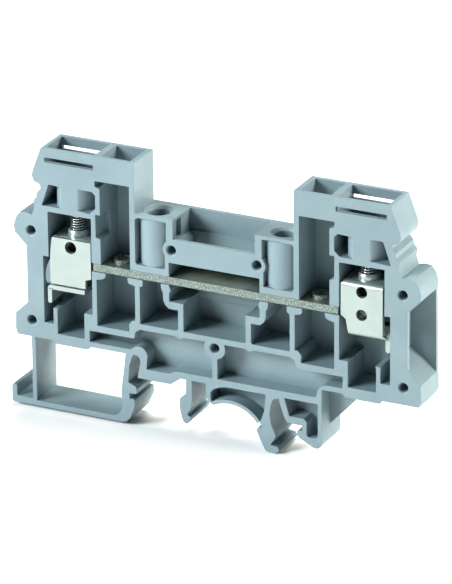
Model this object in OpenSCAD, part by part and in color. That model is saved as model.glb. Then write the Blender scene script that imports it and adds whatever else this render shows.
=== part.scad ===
// Screw-clamp terminal block for a 35 mm mounting rail.
// One moulded housing, open on its front face, holds a busbar and two
// rising-cage clamps. X runs along the block, Y through its thickness
// (the open face is at -Y) and Z up. The origin is the middle of the
// seat on the rail's top face.

/* [Housing] */
// Pitch of the block on the rail: its thickness over both faces
block_t = 8; // [7:0.1:10]
// Thickness of the plate that closes the back
back_t = 0.9; // [0.6:0.1:1.1]
// Thickness of the front bands across the two towers
band_t = 0.9; // [0.6:0.1:1.2]
// Height of the tower tops above the rail
tower_z = 45.7; // [44.5:0.1:56]
// Height of the middle shelf that holds the test sockets
shelf_z = 35.9; // [34.8:0.1:37.5]
// Distance of the end face from the middle
end_x = 38.4; // [38:0.1:40]
// How far the four ears stand out beyond the end faces
ear_out = 2.6; // [2.2:0.1:4]

/* [Clamps] */
// Distance of each clamp screw from the middle
clamp_x = 29.3; // [29.2:0.05:29.4]
// Outside width of a cage along the block
cage_w = 8.3; // [7:0.1:8.4]
// Outside height of a cage
cage_h = 10.5; // [9.6:0.1:10.8]
// Thickness of the cage's sheet steel
cage_t = 0.9; // [0.7:0.05:1]
// How far a cage's tongue stands out towards the end of the block
tongue_out = 0.8; // [0.5:0.05:0.9]
// Height of a cage's top above the rail, left clamp, as set
left_cage_z = 28.45; // [27.2:0.05:31.8]
// Height of a cage's top above the rail, right clamp, as set
right_cage_z = 29.85; // [27.2:0.05:31.8]
// Thread diameter of the clamp screws
screw_d = 3; // [2.5:0.1:3.5]
// Head diameter of the clamp screws
head_d = 5.2; // [4.6:0.1:5.6]
// Height of the clamp screws' heads
head_h = 2.4; // [1.8:0.1:3]

/* [Busbar] */
// Thickness of the busbar
bar_t = 1.5; // [1:0.1:1.6]
// Width of the busbar's ends, inside the cages
bar_end_w = 4.2; // [3:0.1:4.4]
// Distance of each cross-connection hole from the middle
cross_x = 20.05; // [19.6:0.05:20.4]
// Diameter of the tapped cross-connection holes
cross_d = 2.5; // [2:0.1:3.2]

/* [Test sockets and pegs] */
// Distance of each test socket from the middle
socket_x = 12.75; // [12.6:0.05:12.9]
// Bore of the test sockets
socket_d = 4.1; // [3:0.1:4.6]
// Outside diameter of the test sockets
socket_od = 7; // [6.2:0.1:7]
// Diameter of the peg holes in the front face
peg_hole_d = 1.7; // [1.4:0.05:1.8]
// Depth of the peg holes
peg_depth = 5; // [3:0.1:5.2]
// How much thinner the pegs are than their holes
peg_clear = 0.1; // [0.05:0.05:0.3]
// How far the pegs stand out of the back
peg_len = 1.4; // [1:0.1:1.8]

/* [Foot] */
// Width of the mounting rail
rail_w = 35; // [34.8:0.1:35.2]
// Thickness of the rail's edge
rail_t = 1; // [0.9:0.1:1.2]
// How far each hook reaches under the rail
hook_reach = 1; // [0.6:0.1:1.4]
// Width of the small rail that the middle claws take
small_rail_w = 15; // [14.6:0.1:15.2]
// Thickness of the latch's flexing strip
strip_t = 0.9; // [0.7:0.1:1.4]

/* [Hidden] */
$fn = 48;
fit = 0.05;          // gap of a seated piece
slip = 0.15;         // gap of a sliding piece
over = 1;            // how far cuts run past a face
skin = 0.9;          // ordinary wall of the moulding
cavity_y = block_t - back_t;
axis_y = cavity_y / 2;
web_t = 1.2;         // plate in the middle of the foot
web_y = (block_t - web_t) / 2;
bar_z = 23.1;        // underside of the busbar
bar_top = bar_z + bar_t;
tower_in = 15.95;    // inner face of a tower
well_in = 17.05;     // inner well, near side
well_out = 23;       // inner well, far side
divider_x = 23.95;   // far face of the wall between well and chamber
chamber_in = clamp_x - cage_w / 2 - slip - fit;
chamber_out = clamp_x + cage_w / 2 + slip + 0.2;
end_wall_x = clamp_x + cage_w / 2 + tongue_out + 0.7;
throat_x = end_wall_x + 0.95;   // inner end of the wire funnel
bar_half = chamber_in - 0.25;   // half length of the busbar's full-width part
ledge = 0.5;         // steps of the back wall around the busbar
chamber_top = 33.3;
tongue_top = 24.4;   // the chamber widens below this for the cage's tongue
guide_floor = 34.4;  // underside of the screw head rests here
guide_top = 38.65;
well_floor = 39.6;   // floor of the outer well
guide_r = axis_y + 0.3;
slit_z = tower_z - 2.7; // marker slits in the towers
slit_h = 0.9;
socket_r = socket_od / 2;
shelf_t = 0.8;
body_z = 7.8;        // underside of the body
slab_z = 4.8;        // underside of the slab over the foot
slab_top = 6.15;
seat_z = 0;
slot_z = -rail_t - fit;
hook_z = -4;
rail_x = rail_w / 2;
pegs = [[37.4, 29.05], [37.6, 11.15], [8.6, 29.9]];
low_peg = [0, 12.1];
collar_h = 1.2;      // tapped collar on top of a cage
funnel_top = 25.9;   // upper edge of the wire funnel in the end face
funnel_low = 14.6;   // lower edge
tongue_len = 2.8;

function arc(c, r, a0, a1, n = 10) =
  [for (i = [0:n]) c + r * [cos(a0 + (a1 - a0) * i / n), sin(a0 + (a1 - a0) * i / n)]];

// A profile drawn in X and Z, as a plate from depth y0 to depth y1.
module plate(y0, y1) {
  translate([0, y1 - block_t / 2, 0]) rotate([90, 0, 0]) linear_extrude(y1 - y0) children();
}

// The same profile on both ends of the block.
module both() {
  children();
  mirror([1, 0, 0]) children();
}

// A rectangle in X and Z from corner to corner.
module box2(a, b) {
  translate(a) square(b - a);
}

module round_z(x, y, z0, z1, r) {
  translate([x, y - block_t / 2, z0]) cylinder(h = z1 - z0, r = r);
}

module round_y(x, z, y0, y1, r0, r1) {
  translate([x, y0 - block_t / 2, z]) rotate([-90, 0, 0]) cylinder(h = y1 - y0, r1 = r0, r2 = r1);
}

// ---------------------------------------------------------------- housing

ear_x = end_x + ear_out;
head_edge = [[35, tower_z], [36.8, 41], [37, 40], [36.6, 38.9], [35.4, 38.4]];
grip_edge = [[35.2, 37.7], [36, 36.8], [36.1, 35.9], [36.8, 35.1], [36.6, 33.8], [37.1, 32.2]];
top_ear = [[38.2, 32.5], [39.6, 32.4], [40.5, 31.2], [ear_x, 29.5], [ear_x - 0.2, 28.3]];
low_ear = [[ear_x, 12.1], [ear_x + 0.1, 9], [ear_x - 0.3, body_z]];

// Right half of the body's outline; the back plate has no wire recess.
module half_body(recess) {
  throat = recess ? [[end_x, funnel_top], [end_x, funnel_low]] : [];
  polygon(concat([[0, shelf_z], [tower_in, shelf_z], [tower_in, tower_z]], head_edge, grip_edge,
                 top_ear, throat, low_ear,
                 [[33.4, body_z], [32.9, 7.15], [26.1, 7.15], [25.5, body_z], [0, body_z]]));
}

// The trunk joins the body to the foot and ends in the latch's bend.
module trunk() {
  polygon([[-15.8, body_z + 0.2], [-15.8, body_z - 0.1], [-15.4, 7.4], [-15.25, 6.6],
           [-15.9, 3.35], [-9.1, 3.35], [-7.1, slab_z], [rail_x + 4, slab_z], [rail_x + 4, body_z + 0.2]]);
}

// Round swellings where the ribs meet, right half.
module rib_dots() {
  for (p = [[7.05, 13.65], [16.5, 13.5], [9.8, 22.1]]) translate(p) circle(r = 0.95);
}

// The channel above the slab, open on the front and on the back.
module channel() {
  difference() {
    polygon(concat([[0, slab_top], [20.3, slab_top], [20.6, 7.5], [21.2, 8.4], [22.2, 8.9],
                    [25.6, 8.9], [25.6, 11.1], [16.4, 11.1], [16.1, 12.5], [15.2, 13.1],
                    [-15.2, 13.1], [-16.1, 12.5], [-16.4, 11.1], [-25.6, 11.1], [-25.6, 8.9],
                    [-17.1, 8.9]],
                   arc([-15.45, 8.05], 1.7, 135, -10, 12),
                   [[-13.95, 5.45], [-9.3, 5.45], [-7.9, slab_top]]));
    translate(low_peg) circle(r = 2.15);
    both() rib_dots();
    box2([-0.55, slab_top - 0.1], [0.55, low_peg[1]]);
  }
}

module left_claw() {
  tip = rail_edge_left();
  polygon([[-5.95, slab_z + 0.1], [-4.7, slab_z + 0.1], [-4.7, 1], [-4.9, -0.5], [tip, -2],
           [tip, -2.3], [-5.1, -2.4], [-5, -2.9], [-5.7, -3.95], [-6.2, -4], [-6.7, -3.4],
           [-7.1, -2], [-7.3, -0.3], [-7.2, 0.9], [-6, 2.1]]);
}

claw_notch = 9.4;
function rail_edge_left() = claw_notch - small_rail_w;

module right_claw() {
  polygon([[10.2, slab_z + 0.1], [10.1, 3], [9.9, 1.5], [9.3, -0.2], [claw_notch - 0.5, -1.1],
           [claw_notch, -1.3], [claw_notch, -1.9], [8.6, -2], [8.3, -2.6], [9.3, -4.8],
           [10.1, -6.3], [10.8, -6.6], [12.2, -6.6], [13, -5.9], [12.6, -5.2], [11.2, -5],
           [12.25, -3.2], [12.1, -2.6], [11.3, -0.8], [11.05, 1.2], [11.3, 3], [11.7, 4],
           [12.2, 4.4], [12.8, 4.4], [13, slab_z + 0.1]]);
}

// The bowed web between the claws.
module bow() {
  c = [2.9, -5.4];
  polygon(concat(arc(c, 7.75, 118, 38, 14), arc(c, 7, 36, 118, 14),
                 [[-1.3, 1.35], [-1.9, 2], [-1.9, slab_z + 0.1], [2.6, slab_z + 0.1], [1, 4.5],
                  [-0.2, 4], [-0.9, 3.3], [-0.9, 2.2]]));
}

module fixed_hook() {
  wall = rail_x + 4;
  back = rail_x + 1;
  polygon([[wall - 0.85, slab_z + 0.1], [wall, slab_z + 0.1], [wall + 0.1, hook_z + 1.4],
           [wall - 0.2, hook_z + 0.5], [wall - 0.8, hook_z], [wall - 1.6, hook_z],
           [rail_x - 0.4, -2.6], [rail_x - hook_reach, -1.9], [rail_x - hook_reach, slot_z - 0.2],
           [rail_x - hook_reach + 0.3, slot_z], [rail_x + fit, slot_z], [rail_x + fit, seat_z],
           [14.6, seat_z], [14, 0.8], [13, 3.8], [12.9, slab_z + 0.1], [14, slab_z + 0.1],
           [15, 1.45], [back - 0.6, 1.45], [back, 0.9], [back, -1.7], [back + 0.4, -2.05],
           [wall - 1.3, -2.05], [wall - 0.85, -1.7]]);
}

// The plate in the middle of the foot, behind its ribs.
module foot_web() {
  polygon(concat([[-1.4, slab_z + 0.1]], arc([2.9, -5.4], 7.4, 118, 40, 12),
                 [[10, 0], [10.6, slab_z + 0.1]]));
  polygon([[13.4, slab_z + 0.1], [14.8, 1], [18.2, 1], [18.2, -2.3], [rail_x + 3.4, -2.3],
           [rail_x + 3.4, slab_z + 0.1]]);
  polygon([[rail_x + 3.8, -0.5], [29, body_z + 0.1], [rail_x + 3.8, body_z + 0.1]]);
}

// Pockets between the ribs under the busbar, right half.
module pockets() {
  floor_z = 14.3;
  box2([-0.1, floor_z], [6.25, 19.9]);
  box2([-0.1, 19.8], [9.1, bar_z + 0.1]);
  box2([7.4, floor_z], [15.1, 18.3]);
  polygon([[9.1, 18.2], [15.1, 18.2], [15.1, 21.6], [14.5, 21.8], [14.5, bar_z + 0.1],
           [10.9, bar_z + 0.1], [10.8, 22.1], [10.4, 21.4], [10.4, 20], [10, 19]]);
  polygon([[16.15, 14.7], [16.7, 14.65], [17.3, 14.1], [17.4, 12.4], [divider_x, 12.4],
           [divider_x, 21.5], [22.9, 21.7], [22.2, 22.1], [22, bar_z + 0.1], [17.6, bar_z + 0.1],
           [17.6, 22.2], [17.3, 21.8], [16.15, 21.6]]);
}

// The cage chamber with its U-shaped lower part, right half.
module chamber() {
  box2([chamber_in, 14.4], [end_wall_x, tongue_top]);
  box2([chamber_in, tongue_top - 0.1], [chamber_out, chamber_top]);
  polygon([[26.7, 14.5], [26.7, 9.3], [32.2, 9.3], [32.2, 14], [32, 14.5]]);
  box2([33.1, 11.2], [end_wall_x, 14.5]);
}

module guide_window() {
  polygon([[25.1, guide_floor], [24, 35.4], [24, 38], [24.6, guide_top], [33.5, guide_top],
           [35, guide_floor]]);
}

module outer_well() {
  polygon([[24.35, well_floor], [24.35, tower_z + 1], [34, tower_z + 1], [34.2, tower_z],
           [35.7, 41], [35.4, well_floor]]);
}

// Front openings of the inner well and of the middle recess, right half.
module front_windows() {
  box2([well_in, bar_top], [well_out, 40.9]);
  polygon([[well_out - 0.1, 39.5], [24, 39.9], [24, 40.9], [well_out - 0.1, 40.9]]);
  box2([-0.1, 32.1], [8.2, shelf_z + 1]);
  box2([-0.1, bar_top - 0.1], [9.1, 27.4]);
}

// Notch in the wall between the inner well and the chamber.
module divider_notch() {
  polygon([[well_out - 0.1, 29.6], [divider_x, 29.9], [divider_x, 34.3], [well_out - 0.1, 34.3]]);
}

module socket_window() {
  polygon([[9.95, 26], [15.5, 26], [15.9, 26.4], [15.9, shelf_z - shelf_t - 0.4],
           [15.5, shelf_z - shelf_t], [9.65, shelf_z - shelf_t], [9.65, 31.3], [9.95, 31.3]]);
}

module peg_boss() {
  translate(pegs[2]) circle(r = 1.75);
}

module housing_solid() {
  plate(0, cavity_y) both() half_body(true);
  plate(cavity_y - 0.01, block_t) both() half_body(false);
  plate(0, block_t) {
    trunk();
    left_claw();
    right_claw();
    bow();
    fixed_hook();
  }
  plate(web_y, web_y + web_t) foot_web();
}

module wire_funnel() {
  fall = (funnel_low - 12.1) / ear_out;
  rise = (28.3 - funnel_top) / (ear_out - 0.2);
  plate(skin, cavity_y) polygon([[ear_x + 1, 12.1 - fall], [end_x, funnel_low], [throat_x, 16.4],
                                 [throat_x, 23.1], [end_x, funnel_top],
                                 [ear_x + 1, 28.3 + rise * 1.2]]);
  translate([end_wall_x - 0.5, axis_y - block_t / 2, 20.25]) rotate([0, 90, 0])
    cylinder(h = 2, r = 2.6);
}

// Everything that is cut out of the right half.
module half_cuts() {
  plate(-over, cavity_y) {
    chamber();
    guide_window();
    difference() {
      union() {
        pockets();
        socket_window();
        front_windows();
      }
      peg_boss();
      rib_dots();
    }
  }
  plate(band_t, cavity_y) {
    box2([well_in, bar_top], [well_out, tower_z + 1]);
    outer_well();
    box2([-0.1, 31.7], [8.2, shelf_z + 1]);
  }
  plate(-over, 4.1) divider_notch();
  plate(band_t, cavity_y - ledge) difference() {
    box2([-0.1, bar_top - 0.1], [8.2, 32]);
    peg_boss();
  }
  plate(-over, block_t + over) box2([24.3, slit_z], [34.2, slit_z + slit_h]);
  plate(1.3, 3.4) box2([8, 31.9], [9.1, 35.3]);
  wire_funnel();
}

// Round screw guide and test socket, kept inside their windows.
module half_posts() {
  difference() {
    intersection() {
      round_z(clamp_x, axis_y, guide_floor - 0.2, guide_top + 0.2, guide_r);
      plate(0, cavity_y + 0.1) box2([20, 30], [40, 42]);
    }
    round_z(clamp_x, axis_y, guide_floor, guide_top + 1, head_d / 2 + slip);
    round_z(clamp_x, axis_y, guide_floor - 1, guide_floor + 0.1, screw_d / 2 + slip);
  }
  difference() {
    round_z(socket_x, axis_y, 25.9, shelf_z - shelf_t + 0.1, socket_r);
    round_z(socket_x, axis_y, 27, shelf_z, socket_d / 2);
  }
}

module half_bores() {
  round_z(clamp_x, axis_y, guide_floor, well_floor + 0.2, head_d / 2 + slip);
  round_z(clamp_x, axis_y, chamber_top - 0.2, guide_floor + 0.1, screw_d / 2 + slip);
  round_z(socket_x, axis_y, 27, shelf_z + over, socket_d / 2);
  translate([socket_x, axis_y - block_t / 2, shelf_z - 0.65])
    cylinder(h = 0.66, r1 = socket_d / 2, r2 = socket_d / 2 + 0.65);
}

// Thicker back under the busbar, and the tab that keeps the busbar down.
module bar_rests() {
  plate(cavity_y - ledge, cavity_y + 0.1) box2([-9.15, 18.7], [9.15, bar_z - fit]);
  plate(cavity_y - 0.8, cavity_y + 0.1) box2([0.2, bar_top + 0.1], [5.2, bar_top + 0.5]);
}

module peg_hole(p) {
  round_y(p[0], p[1], -over, peg_depth, peg_hole_d / 2, peg_hole_d / 2);
  round_y(p[0], p[1], -0.01, 0.25, peg_hole_d / 2 + 0.25, peg_hole_d / 2);
}

module peg(p) {
  r = (peg_hole_d - peg_clear) / 2;
  round_y(p[0], p[1], block_t - 0.2, block_t + peg_len - 0.3, r, r);
  round_y(p[0], p[1], block_t + peg_len - 0.3, block_t + peg_len, r, r - 0.25);
}

module housing() {
  color([0.62, 0.70, 0.74]) {
    difference() {
      housing_solid();
      both() half_cuts();
      plate(-over, web_y) channel();
      plate(web_y + web_t, block_t + over) channel();
      plate(-over, cavity_y) box2([-chamber_in - 0.1, bar_z - fit], [chamber_in + 0.1, bar_top + fit]);
      both() half_bores();
      both() for (p = pegs) peg_hole(p);
      peg_hole(low_peg);
    }
    difference() {
      both() half_posts();
      both() peg_hole(pegs[2]);
    }
    bar_rests();
    both() for (p = pegs) peg(p);
    peg(low_peg);
  }
}

// ------------------------------------------------------------- rail latch

module stem() {
  edge = -rail_x;
  polygon([[-18.3, body_z], [-18.8, 4], [-19.3, 0], [-19.1, -2], [-19.1, -3.2], [-19.8, -4.6],
           [-20.8, -5], [-36, -5], [-36, -6.1], [-19.5, -6.1], [-18.4, -5.9], [-17.6, -5.2],
           [edge + hook_reach, -2.6], [edge + hook_reach, slot_z - 0.2],
           [edge + hook_reach - 0.3, slot_z], [edge - fit, slot_z], [edge - fit, seat_z],
           [-16.2, seat_z], [-16, 1], [-16.3, 1.6], [-17.75, 2.2], [-17.5, 5.6], [-16.95, 7.2],
           [-16.6, body_z]]);
}

module latch_bar() {
  polygon([[-42.2, -2.7], [-41.8, -2.3], [-41.1, -2.5], [-41.1, -4.5], [-40.8, -4.7],
           [-37.8, -4.7], [-37.8, -5], [-35.5, -5], [-35.5, -6.1], [-41.8, -6.1], [-42.2, -5.7]]);
}

module strip() {
  box2([-37.8, -5.5], [-37.8 + strip_t, body_z]);
}

module rail_latch() {
  color([0.62, 0.70, 0.74]) union() {
    plate(0, block_t) stem();
    plate(0, block_t) latch_bar();
    plate(0, block_t) strip();
  }
}

// ----------------------------------------------------------------- busbar

module busbar() {
  end_len = clamp_x + cage_w / 2 - 0.4;
  mid_y = axis_y - block_t / 2;
  color([0.72, 0.70, 0.66]) difference() {
    union() {
      translate([-bar_half, 0.15 - block_t / 2, bar_z])
        cube([2 * bar_half, cavity_y - 0.3, bar_t]);
      translate([-end_len, mid_y - bar_end_w / 2, bar_z]) cube([2 * end_len, bar_end_w, bar_t]);
      both() translate([cross_x, mid_y, bar_top - 0.1]) cylinder(h = 0.8, r = cross_d / 2 + 0.7);
    }
    both() translate([cross_x, mid_y, bar_z - over]) cylinder(h = 4, r = cross_d / 2);
  }
}

// ------------------------------------------------------------------ cages

// A cage about its screw, with its top at z = 0 and its tongue towards -X.
module cage() {
  w = cage_w / 2;
  d = (cavity_y - 2 * slip) / 2;
  module side(points) {
    translate([0, cage_t, 0]) rotate([90, 0, 0]) linear_extrude(cage_t) polygon(points);
  }
  difference() {
    union() {
      translate([0, -d, 0]) side([[-w + 0.6, 0], [w, 0], [w, -7.2], [w - 1.2, -7.6],
                                  [w - 1.2, -cage_h + cage_t + 0.3],
                                  [-w - 0.2, -cage_h + cage_t + 0.3], [-w - 0.2, -5], [-w, -4]]);
      translate([0, d - cage_t, 0]) side([[-w, -0.5], [-w + 0.3, 0], [w - 0.3, 0], [w, -0.5],
                                          [w, -6.6], [w - 1, -7.4], [w - 1.4, -cage_h + 0.1],
                                          [0.1 - w, -cage_h + 0.1], [-w, -cage_h + 0.5]]);
      translate([-w + 0.6, -d, -cage_t]) cube([2 * w - 0.9, 2 * d, cage_t]);
      translate([-w - tongue_out, -d, -cage_h]) cube([2 * w + tongue_out - 1.2, 2 * d, cage_t]);
      translate([-w - tongue_out, -d, -cage_h - tongue_len]) cube([cage_t, d + 1.9, tongue_len + 0.1]);
      translate([0, 0, -cage_t]) cylinder(h = cage_t + collar_h, r = screw_d / 2 + 0.6);
    }
    translate([0, 0, -cage_t - over]) cylinder(h = cage_t + collar_h + 2 * over, r = screw_d / 2 + fit);
    translate([0, -d - over, -1.6]) rotate([-90, 0, 0]) cylinder(h = cage_t + 1.2, r = 1.15);
    for (z = [-1.7, -6.1])
      translate([0, d - cage_t - 0.1, z]) rotate([-90, 0, 0]) cylinder(h = cage_t + over, r = 1.05);
  }
}

module cage_left() {
  color([0.86, 0.89, 0.89]) translate([-clamp_x, axis_y - block_t / 2, left_cage_z]) cage();
}

module cage_right() {
  color([0.86, 0.89, 0.89]) translate([clamp_x, axis_y - block_t / 2, right_cage_z])
    rotate([0, 0, 180]) cage();
}

// ----------------------------------------------------------------- screws

module clamp_screw() {
  tip = bar_top + fit;
  difference() {
    union() {
      translate([0, 0, tip + 0.4]) cylinder(h = guide_floor - tip - 0.3, r = screw_d / 2);
      translate([0, 0, tip]) cylinder(h = 0.41, r1 = screw_d / 2 - 0.4, r2 = screw_d / 2);
      translate([0, 0, guide_floor + fit]) cylinder(h = head_h, r = head_d / 2);
    }
    translate([-head_d, -0.4, guide_floor + head_h - 1.1]) cube([2 * head_d, 0.8, 2]);
  }
}

module screw_left() {
  color([0.80, 0.84, 0.84]) translate([-clamp_x, axis_y - block_t / 2, 0]) clamp_screw();
}

module screw_right() {
  color([0.80, 0.84, 0.84]) translate([clamp_x, axis_y - block_t / 2, 0]) clamp_screw();
}

housing();
rail_latch();
busbar();
cage_left();
cage_right();
screw_left();
screw_right();
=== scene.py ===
"""Looks of a screw-clamp terminal block for a 35 mm rail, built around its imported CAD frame."""

import math

import bmesh
import bpy
from mathutils import Matrix, Vector


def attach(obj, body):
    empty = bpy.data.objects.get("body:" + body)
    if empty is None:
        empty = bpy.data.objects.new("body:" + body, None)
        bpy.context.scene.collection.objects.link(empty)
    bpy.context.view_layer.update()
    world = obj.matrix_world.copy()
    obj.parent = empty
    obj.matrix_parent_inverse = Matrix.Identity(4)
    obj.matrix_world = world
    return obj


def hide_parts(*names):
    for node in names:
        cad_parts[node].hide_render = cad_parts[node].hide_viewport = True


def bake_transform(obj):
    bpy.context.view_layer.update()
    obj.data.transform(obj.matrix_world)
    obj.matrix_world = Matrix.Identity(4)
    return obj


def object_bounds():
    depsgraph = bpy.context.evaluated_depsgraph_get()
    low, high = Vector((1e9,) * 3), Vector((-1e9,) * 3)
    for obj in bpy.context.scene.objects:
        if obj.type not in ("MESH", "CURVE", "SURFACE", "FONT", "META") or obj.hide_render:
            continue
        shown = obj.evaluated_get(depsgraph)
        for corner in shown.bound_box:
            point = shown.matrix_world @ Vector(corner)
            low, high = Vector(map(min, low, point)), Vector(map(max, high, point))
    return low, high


MM = 0.001

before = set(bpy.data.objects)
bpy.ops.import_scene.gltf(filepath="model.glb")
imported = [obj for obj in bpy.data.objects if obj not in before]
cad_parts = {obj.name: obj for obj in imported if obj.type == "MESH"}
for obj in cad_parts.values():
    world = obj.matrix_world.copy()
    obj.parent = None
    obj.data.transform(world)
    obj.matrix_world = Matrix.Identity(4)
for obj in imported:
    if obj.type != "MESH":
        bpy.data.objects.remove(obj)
cad_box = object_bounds()


# ---------------------------------------------------------------- materials


def node(tree, kind, **values):
    """A shader node with its sockets and settings filled in."""
    made = tree.nodes.new(kind)
    for name, value in values.items():
        if name in made.inputs:
            made.inputs[name].default_value = value
        else:
            setattr(made, name, value)
    return made


def new_material(name, colour, roughness, metallic=0.0):
    """A Principled material; returns it with its tree, shader and object coordinates."""
    material = bpy.data.materials.new(name)
    material.use_nodes = True
    tree = material.node_tree
    shader = tree.nodes["Principled BSDF"]
    shader.inputs["Base Color"].default_value = (*colour, 1)
    shader.inputs["Roughness"].default_value = roughness
    shader.inputs["Metallic"].default_value = metallic
    coordinates = tree.nodes.new("ShaderNodeTexCoord").outputs["Object"]
    return material, tree, shader, coordinates


def noise(tree, vector, scale, detail=3.0):
    """Noise over the object, with scale in features per millimetre."""
    made = node(tree, "ShaderNodeTexNoise", Detail=detail)
    made.inputs["Scale"].default_value = scale / MM
    tree.links.new(vector, made.inputs["Vector"])
    return made.outputs["Fac"]


def stretched(tree, vector, scale):
    """Object coordinates stretched along the axes, for brushed and sheared metal."""
    made = node(tree, "ShaderNodeMapping")
    made.inputs["Scale"].default_value = scale
    tree.links.new(vector, made.inputs["Vector"])
    return made.outputs["Vector"]


def ramp(tree, value, low, high, bottom=0.0, top=1.0):
    """value mapped from bottom-top to low-high."""
    made = node(tree, "ShaderNodeMapRange")
    made.inputs["From Min"].default_value = bottom
    made.inputs["From Max"].default_value = top
    made.inputs["To Min"].default_value = low
    made.inputs["To Max"].default_value = high
    tree.links.new(value, made.inputs["Value"])
    return made.outputs["Result"]


def mixed(tree, factor, first, second):
    """A colour between first and second."""
    made = node(tree, "ShaderNodeMix", data_type="RGBA")
    made.inputs["A"].default_value = (*first, 1)
    made.inputs["B"].default_value = (*second, 1)
    tree.links.new(factor, made.inputs["Factor"])
    return made.outputs[2]


def blended(tree, factor, first, second):
    """A colour between two outputs."""
    made = node(tree, "ShaderNodeMix", data_type="RGBA")
    tree.links.new(first, made.inputs[6])
    tree.links.new(second, made.inputs[7])
    tree.links.new(factor, made.inputs["Factor"])
    return made.outputs[2]


def math_node(tree, operation, value, other=None):
    """A value from one output and, where given, a number."""
    made = node(tree, "ShaderNodeMath", operation=operation)
    tree.links.new(value, made.inputs[0])
    if other is not None:
        made.inputs[1].default_value = other
    return made.outputs["Value"]


def split(tree, vector):
    """The X, Y and Z outputs of a vector."""
    made = tree.nodes.new("ShaderNodeSeparateXYZ")
    tree.links.new(vector, made.inputs["Vector"])
    return made.outputs


def bump(tree, shader, heights):
    """Bumps one over the other; heights are (value, strength, distance in mm)."""
    last = None
    for value, strength, distance in heights:
        made = node(tree, "ShaderNodeBump", Strength=strength, Distance=distance * MM)
        tree.links.new(value, made.inputs["Height"])
        if last is not None:
            tree.links.new(last, made.inputs["Normal"])
        last = made.outputs["Normal"]
    tree.links.new(last, shader.inputs["Normal"])


AXIS_Y = -0.45  # the plane of the screws' axes and the collars, in mm
CLAMP_X = 29.3  # from the middle to each clamp
COLLAR_X = 20.05  # from the middle to each tapped collar
GLINT_LOW, GLINT_HIGH = 24.68, 24.8  # the collars' painted glints and painted shade, as pale and near-black speckles, fade in between these heights
ROOT, CREST = 1.12, 1.5  # radii of the clamp screw's thread
ROOT_SHADE_RADII = (1.20, 1.42)  # painted shade darkens the screw inside the first radius from its axis and fades out by the second
FLAT_COSINE = 0.99999  # faces this close in direction count as one flat
SMOOTH_COSINE = 0.72  # faces further apart than this keep a sharp edge


PLASTIC_DARK = (0.215, 0.292, 0.325)
PLASTIC_PALE = (0.240, 0.322, 0.356)


def plastic():
    """Blue-grey polyamide with a fine moulded grain and faint flow marks."""
    material, tree, shader, at = new_material("grey_polyamide", PLASTIC_DARK, 0.42)
    clouds = noise(tree, at, 0.12, 4.0)
    grain = noise(tree, at, 6.0, 2.0)
    flow = noise(tree, stretched(tree, at, (0.3, 1.0, 1.0)), 0.5, 3.0)
    colour = mixed(tree, ramp(tree, clouds, 0.0, 1.0, 0.3, 0.7), PLASTIC_DARK, PLASTIC_PALE)
    tree.links.new(colour, shader.inputs["Base Color"])
    tree.links.new(ramp(tree, flow, 0.34, 0.50, 0.3, 0.7), shader.inputs["Roughness"])
    bump(tree, shader, [(flow, 0.10, 0.05), (grain, 0.20, 0.012)])
    return material


def zinc(name, colour, dark, roughness, metallic):
    """Bright zinc plating on steel with faintly duller spots."""
    material, tree, shader, at = new_material(name, colour, roughness, metallic)
    brushed = noise(tree, stretched(tree, at, (1.0, 1.0, 0.3)), 2.0, 3.0)
    spots = noise(tree, at, 0.35, 3.0)
    colours = mixed(tree, ramp(tree, spots, 0.0, 1.0, 0.3, 0.75), colour, dark)
    tree.links.new(colours, shader.inputs["Base Color"])
    rough = ramp(tree, brushed, roughness - 0.02, roughness + 0.05, 0.2, 0.8)
    tree.links.new(rough, shader.inputs["Roughness"])
    bump(tree, shader, [(brushed, 0.03, 0.006), (spots, 0.06, 0.06)])
    return material, tree, shader, at


def screw_zinc():
    """Zinc plating with painted shade in the thread's roots and the middle of the head's slot, found by
    distance from the axis.
    """
    material, tree, shader, at = zinc("zinc_screw", (0.60, 0.66, 0.66), (0.46, 0.52, 0.52), 0.24, 0.75)
    parts = split(tree, at)
    side = math_node(tree, "ABSOLUTE", parts["X"])
    flat = tree.nodes.new("ShaderNodeCombineXYZ")
    tree.links.new(math_node(tree, "SUBTRACT", side, CLAMP_X * MM), flat.inputs["X"])
    tree.links.new(math_node(tree, "SUBTRACT", parts["Y"], AXIS_Y * MM), flat.inputs["Y"])
    radius = node(tree, "ShaderNodeVectorMath", operation="LENGTH")
    tree.links.new(flat.outputs["Vector"], radius.inputs[0])
    old = shader.inputs["Base Color"].links[0].from_socket
    # painted shade: near-black where the screw comes close to its axis, in the thread's roots and the
    # middle of the slot
    root_shade = node(tree, "ShaderNodeMix", data_type="RGBA")
    root_shade.inputs[6].default_value = (0.05, 0.075, 0.08, 1)
    tree.links.new(old, root_shade.inputs[7])
    root = ramp(tree, radius.outputs["Value"], 0.0, 1.0, *(r * MM for r in ROOT_SHADE_RADII))
    tree.links.new(root, root_shade.inputs["Factor"])
    tree.links.new(root_shade.outputs[2], shader.inputs["Base Color"])
    return material


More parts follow.
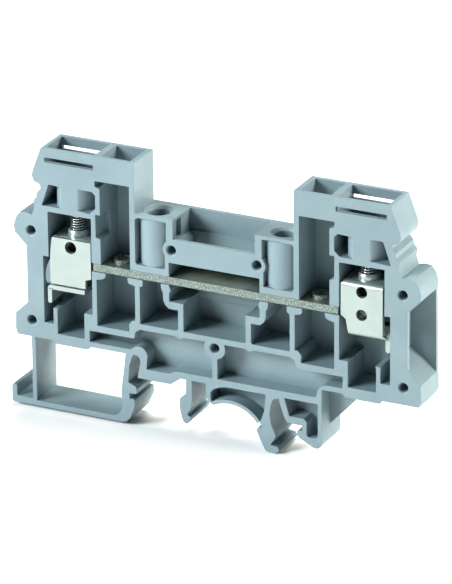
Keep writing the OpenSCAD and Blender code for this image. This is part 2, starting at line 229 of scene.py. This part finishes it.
def tinned():
    """Dull tin plating over a sheared bar: pale rough edges, darker stained flats, and painted glints on
    the tapped collars.
    """
    material, tree, shader, at = new_material("tinned_bar", (0.3, 0.36, 0.33), 0.42, 0.75)
    shear = noise(tree, stretched(tree, at, (1.0, 1.0, 0.6)), 5.5, 5.0)
    stain = noise(tree, at, 0.35, 5.0)
    flats = mixed(tree, ramp(tree, stain, 0.0, 1.0, 0.3, 0.7), (0.27, 0.325, 0.29), (0.17, 0.21, 0.175))
    edges = mixed(tree, ramp(tree, shear, 0.0, 1.0, 0.35, 0.62), (0.36, 0.43, 0.41), (0.13, 0.165, 0.15))
    normal = tree.nodes.new("ShaderNodeTexCoord").outputs["Normal"]
    upright = math_node(tree, "ABSOLUTE", split(tree, normal)["Z"])
    both = blended(tree, ramp(tree, upright, 0.0, 1.0, 0.3, 0.7), edges, flats)
    # painted glints with painted shade between them: from the collars' height up, the colour is speckled
    # pale and near-black
    glint_speckles = ramp(tree, shear, 0.0, 1.0, 0.4, 0.6)
    painted_glints = mixed(tree, glint_speckles, (0.05, 0.07, 0.06), (0.46, 0.52, 0.49))
    over = ramp(tree, split(tree, at)["Z"], 0.0, 1.0, GLINT_LOW * MM, GLINT_HIGH * MM)
    tree.links.new(blended(tree, over, both, painted_glints), shader.inputs["Base Color"])
    tree.links.new(ramp(tree, shear, 0.30, 0.60, 0.3, 0.7), shader.inputs["Roughness"])
    bump(tree, shader, [(shear, 0.6, 0.08), (stain, 0.1, 0.05)])
    return material


GREY = plastic()
CAGE = zinc("zinc_cage", (0.41, 0.475, 0.465), (0.37, 0.435, 0.425), 0.30, 0.60)[0]
SCREW = screw_zinc()
BAR = tinned()


# ------------------------------------------------------------------- pieces


def mesh_object(name, mesh):
    """A new object for a mesh, linked to the scene."""
    made = bpy.data.objects.new(name, mesh)
    bpy.context.scene.collection.objects.link(made)
    return made


def carried(name, source, weld=0.002 * MM):
    """A new object with a clean, welded copy of a CAD node's mesh."""
    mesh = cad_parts[source].data.copy()
    mesh.name = name
    work = bmesh.new()
    work.from_mesh(mesh)
    bmesh.ops.remove_doubles(work, verts=work.verts, dist=weld)
    bmesh.ops.dissolve_degenerate(work, edges=work.edges, dist=weld)
    work.to_mesh(mesh)
    work.free()
    for layer in list(mesh.uv_layers):
        mesh.uv_layers.remove(layer)
    if mesh.has_custom_normals:
        mesh.attributes.remove(mesh.attributes["custom_normal"])
    mesh.materials.clear()
    return mesh_object(name, mesh)


def baked(piece):
    """Applies every modifier of a piece to its mesh."""
    seen = piece.evaluated_get(bpy.context.evaluated_depsgraph_get())
    mesh = bpy.data.meshes.new_from_object(seen)
    piece.modifiers.clear()
    old = piece.data
    piece.data = mesh
    mesh.name = piece.name
    bpy.data.meshes.remove(old)


def solid(name, rings, closed=False):
    """A solid lofted through rings of points in mm; closed joins the last ring to the first."""
    work = bmesh.new()
    rows = [[work.verts.new(Vector(p) * MM) for p in ring] for ring in rings]
    pairs = list(zip(rows, rows[1:]))
    if closed:
        pairs.append((rows[-1], rows[0]))
    else:
        work.faces.new(rows[0])
        work.faces.new(rows[-1])
    for low, high in pairs:
        for i in range(len(low)):
            j = (i + 1) % len(low)
            work.faces.new((low[i], low[j], high[j], high[i]))
    bmesh.ops.recalc_face_normals(work, faces=work.faces)
    mesh = bpy.data.meshes.new(name)
    work.to_mesh(mesh)
    work.free()
    return mesh_object(name, mesh)


def prism_y(name, outline, y0, y1):
    """A profile in X and Z, in mm, as a plate from y0 to y1."""
    return solid(name, [[(x, y, z) for x, z in outline] for y in (y0, y1)])


def prism_x(name, outline, x0, x1):
    """A profile in Y and Z, in mm, as a bar from x0 to x1."""
    return solid(name, [[(x, y, z) for y, z in outline] for x in (x0, x1)])


NEARLY_0 = 0.001  # stands for the axis in a turned outline, so that its faces keep an area


def turned(name, outline, segments=48):
    """A closed outline of (radius, z) turned about the Z axis."""
    rings = []
    for i in range(segments):
        angle = math.tau * i / segments
        rings.append([(r * math.cos(angle), r * math.sin(angle), z) for r, z in outline])
    return solid(name, rings, closed=True)


def rod_y(name, x, y0, y1, z, radius, segments=32):
    """A round bar along Y, in mm."""
    rim = [math.tau * i / segments for i in range(segments)]
    return prism_y(name, [(x + radius * math.cos(a), z + radius * math.sin(a)) for a in rim], y0, y1)


def arc(x, z, radius, start, stop, count=6):
    """Points on an arc, from start to stop degrees."""
    turns = [math.radians(start + (stop - start) * i / count) for i in range(count + 1)]
    return [(x + radius * math.cos(a), z + radius * math.sin(a)) for a in turns]


def cut(piece, *tools, kind="DIFFERENCE"):
    """Takes each tool away from a piece, or keeps only what they share."""
    for tool in tools:
        step = piece.modifiers.new("cut", "BOOLEAN")
        step.operation = kind
        step.solver = "EXACT"
        step.object = tool
        baked(piece)
        bpy.data.objects.remove(tool)


def thread(name, z0, z1, root, crest, pitch=0.5, segments=24, steps=6):
    """A threaded rod from z0 to z1, with flat crests and roots and its ends chamfered."""
    count = round((z1 - z0) / pitch * steps)
    rings = []
    for k in range(count + 1):
        z = z0 + (z1 - z0) * k / count
        near_end = min(z - z0, z1 - z) / 0.4
        ring = []
        for i in range(segments):
            phase = ((z - z0) / pitch - i / segments) % 1
            height = min(1.0, max(0.0, 1.4 - abs(phase - 0.5) * 3.6))
            radius = min(root + (crest - root) * height, root - 0.1 + (crest - root + 0.1) * near_end)
            angle = math.tau * i / segments
            ring.append((radius * math.cos(angle), radius * math.sin(angle), z))
        rings.append(ring)
    return solid(name, rings)


def mark_edges(piece, width, rule=None, angle=28.0):
    """Stores on every sharp edge how wide, in mm, it is rounded; rule may change the width."""
    work = bmesh.new()
    work.from_mesh(piece.data)
    widths = []
    for edge in work.edges:
        sharp = len(edge.link_faces) == 2 and edge.calc_face_angle(0) > math.radians(angle)
        chosen = width if sharp else 0.0
        if sharp and rule is not None:
            chosen = rule(edge.verts[0].co / MM, edge.verts[1].co / MM, width)
        widths.append(chosen)
    work.free()
    made = piece.data.attributes.new("bevel_weight_edge", "FLOAT", "EDGE")
    made.data.foreach_set("value", widths)


def round_edges(piece, segments=2):
    """Rounds the marked edges."""
    step = piece.modifiers.new("round_edges", "BEVEL")
    step.width = MM
    step.segments = segments
    step.limit_method = "WEIGHT"
    step.use_clamp_overlap = False
    step.loop_slide = False
    baked(piece)


def flat_areas(work):
    """For each face, the area of the flat region it belongs to."""
    areas = [0.0] * len(work.faces)
    seen = set()
    for first in work.faces:
        if first.index in seen:
            continue
        seen.add(first.index)
        region, queue = [], [first]
        while queue:
            face = queue.pop()
            region.append(face)
            for edge in face.edges:
                for other in edge.link_faces:
                    if other.index not in seen and other.normal.dot(first.normal) > FLAT_COSINE:
                        seen.add(other.index)
                        queue.append(other)
        total = sum(face.calc_area() for face in region)
        for face in region:
            areas[face.index] = total
    return areas


def shade(piece):
    """Smooth shading over the rounded edges, with the faces between them flat."""
    mesh = piece.data
    mesh.polygons.foreach_set("use_smooth", [True] * len(mesh.polygons))
    work = bmesh.new()
    work.from_mesh(mesh)
    work.normal_update()
    areas = flat_areas(work)
    around = [[] for _ in mesh.vertices]
    for face in mesh.polygons:
        for index in face.vertices:
            around[index].append(face.index)
    normals = [None] * len(mesh.loops)
    for face in mesh.polygons:
        for corner in face.loop_indices:
            total = Vector()
            for other in around[mesh.loops[corner].vertex_index]:
                near = mesh.polygons[other].normal
                if near.dot(face.normal) > SMOOTH_COSINE:
                    total += near * areas[other]
            normals[corner] = total.normalized() if total.length > 0.0 else face.normal.copy()
    work.free()
    mesh.normals_split_custom_set(normals)


def rounded(piece, width, rule=None, segments=2):
    """Marks and rounds the sharp edges of a piece, inside its own box."""
    corners = [vertex.co.copy() for vertex in piece.data.vertices]
    low = [min(c[i] for c in corners) for i in range(3)]
    high = [max(c[i] for c in corners) for i in range(3)]
    work = bmesh.new()
    work.from_mesh(piece.data)
    bmesh.ops.triangulate(work, faces=[face for face in work.faces if len(face.verts) > 4])
    work.to_mesh(piece.data)
    work.free()
    mark_edges(piece, width, rule)
    round_edges(piece, segments)
    for vertex in piece.data.vertices:
        vertex.co = [min(max(vertex.co[i], low[i]), high[i]) for i in range(3)]
    return piece


def together(name, *parts):
    """One object of several solids."""
    work = bmesh.new()
    for part in parts:
        work.from_mesh(part.data)
        bpy.data.objects.remove(part)
    mesh = bpy.data.meshes.new(name)
    work.to_mesh(mesh)
    work.free()
    return mesh_object(name, mesh)


def finished(piece, body, material, slot, *stands_for):
    """Gives a piece its material and its body, and hides the CAD nodes it stands for."""
    piece.data.materials.clear()
    piece.data.materials.append(material)
    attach(piece, body)
    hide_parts(*stands_for)


# ------------------------------------------------------------ housing, latch

BODY_Z = 7.8  # underside of the housing over the latch
EDGE = 0.12  # how wide moulded edges are rounded

housing = rounded(carried("housing_shell", "housing"), EDGE)
shade(housing)
finished(housing, "block", GREY, "grey_polyamide", "housing")


ROW = 0.7  # height between the rows of points where the latch bends
BEND_END = 0.9  # rows end at this height


def rail_latch():
    """The latch, closed up to the housing, with rows of points where it bends."""
    piece = carried("latch_spring", "rail_latch")
    for vertex in piece.data.vertices:
        if vertex.co.z > (BODY_Z - 0.05) * MM:
            vertex.co.z += EDGE * MM

    def rule(a, b, width):
        return 0.0 if min(a.z, b.z) > BODY_Z else width

    rounded(piece, EDGE, rule)
    work = bmesh.new()
    work.from_mesh(piece.data)
    height = BODY_Z - 0.4
    while height > BEND_END:
        bmesh.ops.bisect_plane(
            work, geom=work.verts[:] + work.edges[:] + work.faces[:],
            plane_co=(0, 0, height * MM), plane_no=(0, 0, 1),
        )
        height -= ROW
    work.to_mesh(piece.data)
    work.free()
    shade(piece)
    piece.data.materials.clear()
    piece.data.materials.append(GREY)
    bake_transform(piece)
    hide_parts("rail_latch")


rail_latch()


# ------------------------------------------------------------------- busbar


def busbar():
    """The bar with rings of thread in its two tapped collars."""
    bar = rounded(carried("bar", "busbar"), 0.12)
    low, high, pitch = 23.25, 25.05, 0.45
    outer, wall, crest = 1.4, 1.27, 1.05
    rings = []
    for side in (-1, 1):
        outline = [(outer, high), (outer, low)]
        z = low
        while z < high - 0.15:
            outline += [(wall, z), (crest, z + 0.4 * pitch), (crest, z + 0.6 * pitch)]
            z += pitch
        outline.append((wall, high))
        ring = turned("ring", outline, 32)
        ring.data.transform(Matrix.Translation(Vector((side * COLLAR_X, AXIS_Y, 0)) * MM))
        rings.append(ring)
    bar = together("busbar_bar", bar, *rings)
    shade(bar)
    finished(bar, "block", BAR, "tinned_bar", "busbar")


busbar()


# ------------------------------------------------------------------- clamps

HALF_W, HALF_D, TALL = 4.15, 3.4, 10.5  # half the cage's width and depth, and its height
SHEET, TONGUE = 0.9, 0.8  # thickness of its sheet, and how far its tongue stands out


def cage_wrap():
    """The cage's sheet from the top round the closed side to the bottom, with its tongue."""
    w, d, h, t = HALF_W, HALF_D, TALL, SHEET
    bend = 1.05
    inner = bend - t
    section = [(-d, -h), *arc(d - bend, -h + bend, bend, -90, 0), *arc(d - bend, -bend, bend, 0, 90),
               (-d + t + 0.06, 0), (-d + t + 0.06, -t), *arc(d - bend, -bend, inner, 90, 0),
               *arc(d - bend, -h + bend, inner, 0, -90), (-d, -h + t)]
    piece = prism_x("wrap", section, -w - TONGUE, w)
    tip = -w - TONGUE
    keep = [(tip, -h - 0.5), (tip, -h + t - 0.75), *arc(tip + 0.75, -h + t - 0.75, 0.75, 180, 90)[1:],
            (-w, -h + t), (-w, -0.5), (-w + 0.3, 0.3), (w - 0.3, 0.3), (w, -0.5), (w, -6.6), (w - 1, -7.4),
            (w - 1.4, -h + t), (w - 1.4, -h - 0.5)]
    cut(piece, prism_y("keep", keep, -d - 1, d + 1), kind="INTERSECT")
    cut(piece,
        rod_y("hole", 0, d - 2, d + 1, -1.7, 1.05),
        rod_y("hole", 0, d - 2, d + 1, -6.1, 1.05),
        turned("hole", [(NEARLY_0, -2), (1.75, -2), (1.75, 1), (NEARLY_0, 1)], 32))
    rounded(piece, 0.09)
    low = -h - 2.8
    curl = [(-w + 0.35, -h + 0.3), (tip + 0.2, -h + 0.3), (tip, -h), (tip, low + 0.45),
            *arc(tip + 0.45, low + 0.45, 0.45, 180, 360), (tip + t, -h - 0.3),
            *arc(tip + t + 0.35, -h - 0.3, 0.35, 180, 90, 4)]
    return together("wrap", piece, rounded(prism_y("curl", curl, -d, 1.9), 0.09))


def cage_front():
    """The cage's cut sheet on its open side, over a narrow seam."""
    w, d, h, t = HALF_W, HALF_D, TALL, SHEET
    outline = [(-w + 0.35, 0), (w, 0), (w, -7.2), (w - 1.2, -7.6), (w - 1.2, -h + t + 0.3),
               (-w - 0.2, -h + t + 0.3), (-w - 0.2, -5), (-w - 0.05, -2.5), (-w + 0.15, -0.6)]
    piece = prism_y("front", outline, -d, -d + t)
    cut(piece, rod_y("hole", 0, -d - 1, -d + 2, -1.6, 1.15))
    return rounded(piece, 0.07)


def cage(name, node_name, body, x, z, turn):
    """A clamp cage of folded sheet with a tapped collar on top."""
    ring = [(1.56, -0.85), (1.95, -0.85), (2.05, 0.0), (1.95, 0.35),
            (2.0, 0.75), (1.8, 1.2), (1.62, 1.2), (1.56, 1.1)]
    collar = turned("collar", ring, 40)
    piece = together(name, cage_wrap(), cage_front(), rounded(collar, 0.06))
    place = Matrix.Translation(Vector((x, AXIS_Y, z)) * MM) @ Matrix.Rotation(turn, 4, "Z")
    piece.data.transform(place)
    shade(piece)
    finished(piece, body, CAGE, "zinc_steel", node_name)


cage("cage_left_sheet", "cage_left", "left_cage", -CLAMP_X, 28.45, 0)
cage("cage_right_sheet", "cage_right", "right_cage", CLAMP_X, 29.85, math.pi)


def clamp_screw(name, node_name, body, x, turn):
    """A slotted M3 screw with its thread cut."""
    shaft = thread("shaft", 24.66, 34.6, ROOT, CREST)
    low, high, radius = 34.45, 36.85, 2.6
    head = turned("head", [(NEARLY_0, low), (radius, low), (radius, high), (NEARLY_0, high)], 64)
    slot = prism_x("slot", [(-0.4, 35.75), (0.4, 35.75), (0.4, 38), (-0.4, 38)], -4, 4)
    cut(head, slot)
    piece = together(name, rounded(head, 0.18), shaft)
    place = Matrix.Translation(Vector((x, AXIS_Y, 0)) * MM) @ Matrix.Rotation(turn, 4, "Z")
    piece.data.transform(place)
    shade(piece)
    finished(piece, body, SCREW, "zinc_screw", node_name)


clamp_screw("screw_left_cut", "screw_left", "left_screw", -CLAMP_X, 0.0)
clamp_screw("screw_right_cut", "screw_right", "right_screw", CLAMP_X, 0.0)


# -------------------------------------------------------------------- stage

AZIMUTH, ELEVATION, ROLL = (math.radians(x) for x in (26.05, 22.53, -0.514))
TARGET = Vector((2.434, -4.0, 23.70)) * MM
DISTANCE = 918.8 * MM
FOCAL_LENGTH = 312.9
LAMP_DISTANCE = 0.9  # metres
FLOOR_HALF = 0.6


def photo_camera():
    """The camera at the photograph's angle, distance and focal length."""
    reach = math.cos(ELEVATION)
    view = Vector((-math.sin(AZIMUTH) * reach, math.cos(AZIMUTH) * reach, -math.sin(ELEVATION)))
    level = Vector((math.cos(AZIMUTH), math.sin(AZIMUTH), 0))
    up = level.cross(view)
    right = math.cos(ROLL) * level + math.sin(ROLL) * up
    above = -math.sin(ROLL) * level + math.cos(ROLL) * up
    data = bpy.data.cameras.new("camera")
    data.sensor_fit = "AUTO"
    data.sensor_width = 36
    data.lens = FOCAL_LENGTH
    data.clip_start = 0.05
    data.clip_end = 20
    camera = bpy.data.objects.new("camera", data)
    bpy.context.scene.collection.objects.link(camera)
    turn = Matrix((right, above, -view)).transposed().to_4x4()
    camera.matrix_world = Matrix.Translation(TARGET - view * DISTANCE) @ turn
    bpy.context.scene.camera = camera


def floor():
    """A pale floor under the foot, no wider than the lamps light evenly."""
    low = cad_box[0].z - 0.02 * MM
    mesh = bpy.data.meshes.new("floor")
    signs = ((-1, -1), (1, -1), (1, 1), (-1, 1))
    corners = [(x * FLOOR_HALF, y * FLOOR_HALF, low) for x, y in signs]
    mesh.from_pydata(corners, [], [(0, 1, 2, 3)])
    material = new_material("floor", (0.94, 0.94, 0.94), 0.9)[0]
    mesh.materials.append(material)
    mesh_object("floor", mesh)


def lamp(name, direction, size, power, colour):
    """A square soft light in a direction from the middle of the block, turned to it."""
    middle = Vector((0.0, 0.0, 0.02))
    place = middle + Vector(direction).normalized() * LAMP_DISTANCE
    data = bpy.data.lights.new(name, "AREA")
    data.size = size
    data.energy = power
    data.color = colour
    made = bpy.data.objects.new(name, data)
    made.location = place
    made.rotation_euler = (middle - place).to_track_quat("-Z", "Y").to_euler()
    bpy.context.scene.collection.objects.link(made)


ROOM_LIGHT = 0.06  # how strongly the room lights the block
ROOM_SEEN = 1.0  # how bright it looks past the floor


def lights():
    """A soft key from the front and left, a light from the right, one from above, in a dim room."""
    lamp("key", (-0.62, -0.62, 0.46), 0.40, 12.8, (0.97, 1.0, 1.0))
    lamp("side", (0.92, 0.16, 0.36), 0.35, 11.5, (1.0, 0.96, 0.90))
    lamp("top", (0.05, 0.38, 0.92), 0.45, 7.5, (1.0, 0.95, 0.88))
    world = bpy.data.worlds.new("room")
    world.use_nodes = True
    background = world.node_tree.nodes["Background"]
    background.inputs["Color"].default_value = (0.94, 0.98, 1.0, 1)
    # the room lights the block dimly, and looks pale where the floor ends
    sight = world.node_tree.nodes.new("ShaderNodeLightPath")
    strength = world.node_tree.nodes.new("ShaderNodeMapRange")
    strength.inputs["To Min"].default_value = ROOM_LIGHT
    strength.inputs["To Max"].default_value = ROOM_SEEN
    world.node_tree.links.new(sight.outputs["Is Camera Ray"], strength.inputs["Value"])
    world.node_tree.links.new(strength.outputs["Result"], background.inputs["Strength"])
    bpy.context.scene.world = world
    bpy.context.scene.view_settings.view_transform = "Standard"
    bpy.context.scene.view_settings.gamma = 0.84


photo_camera()
floor()
lights()
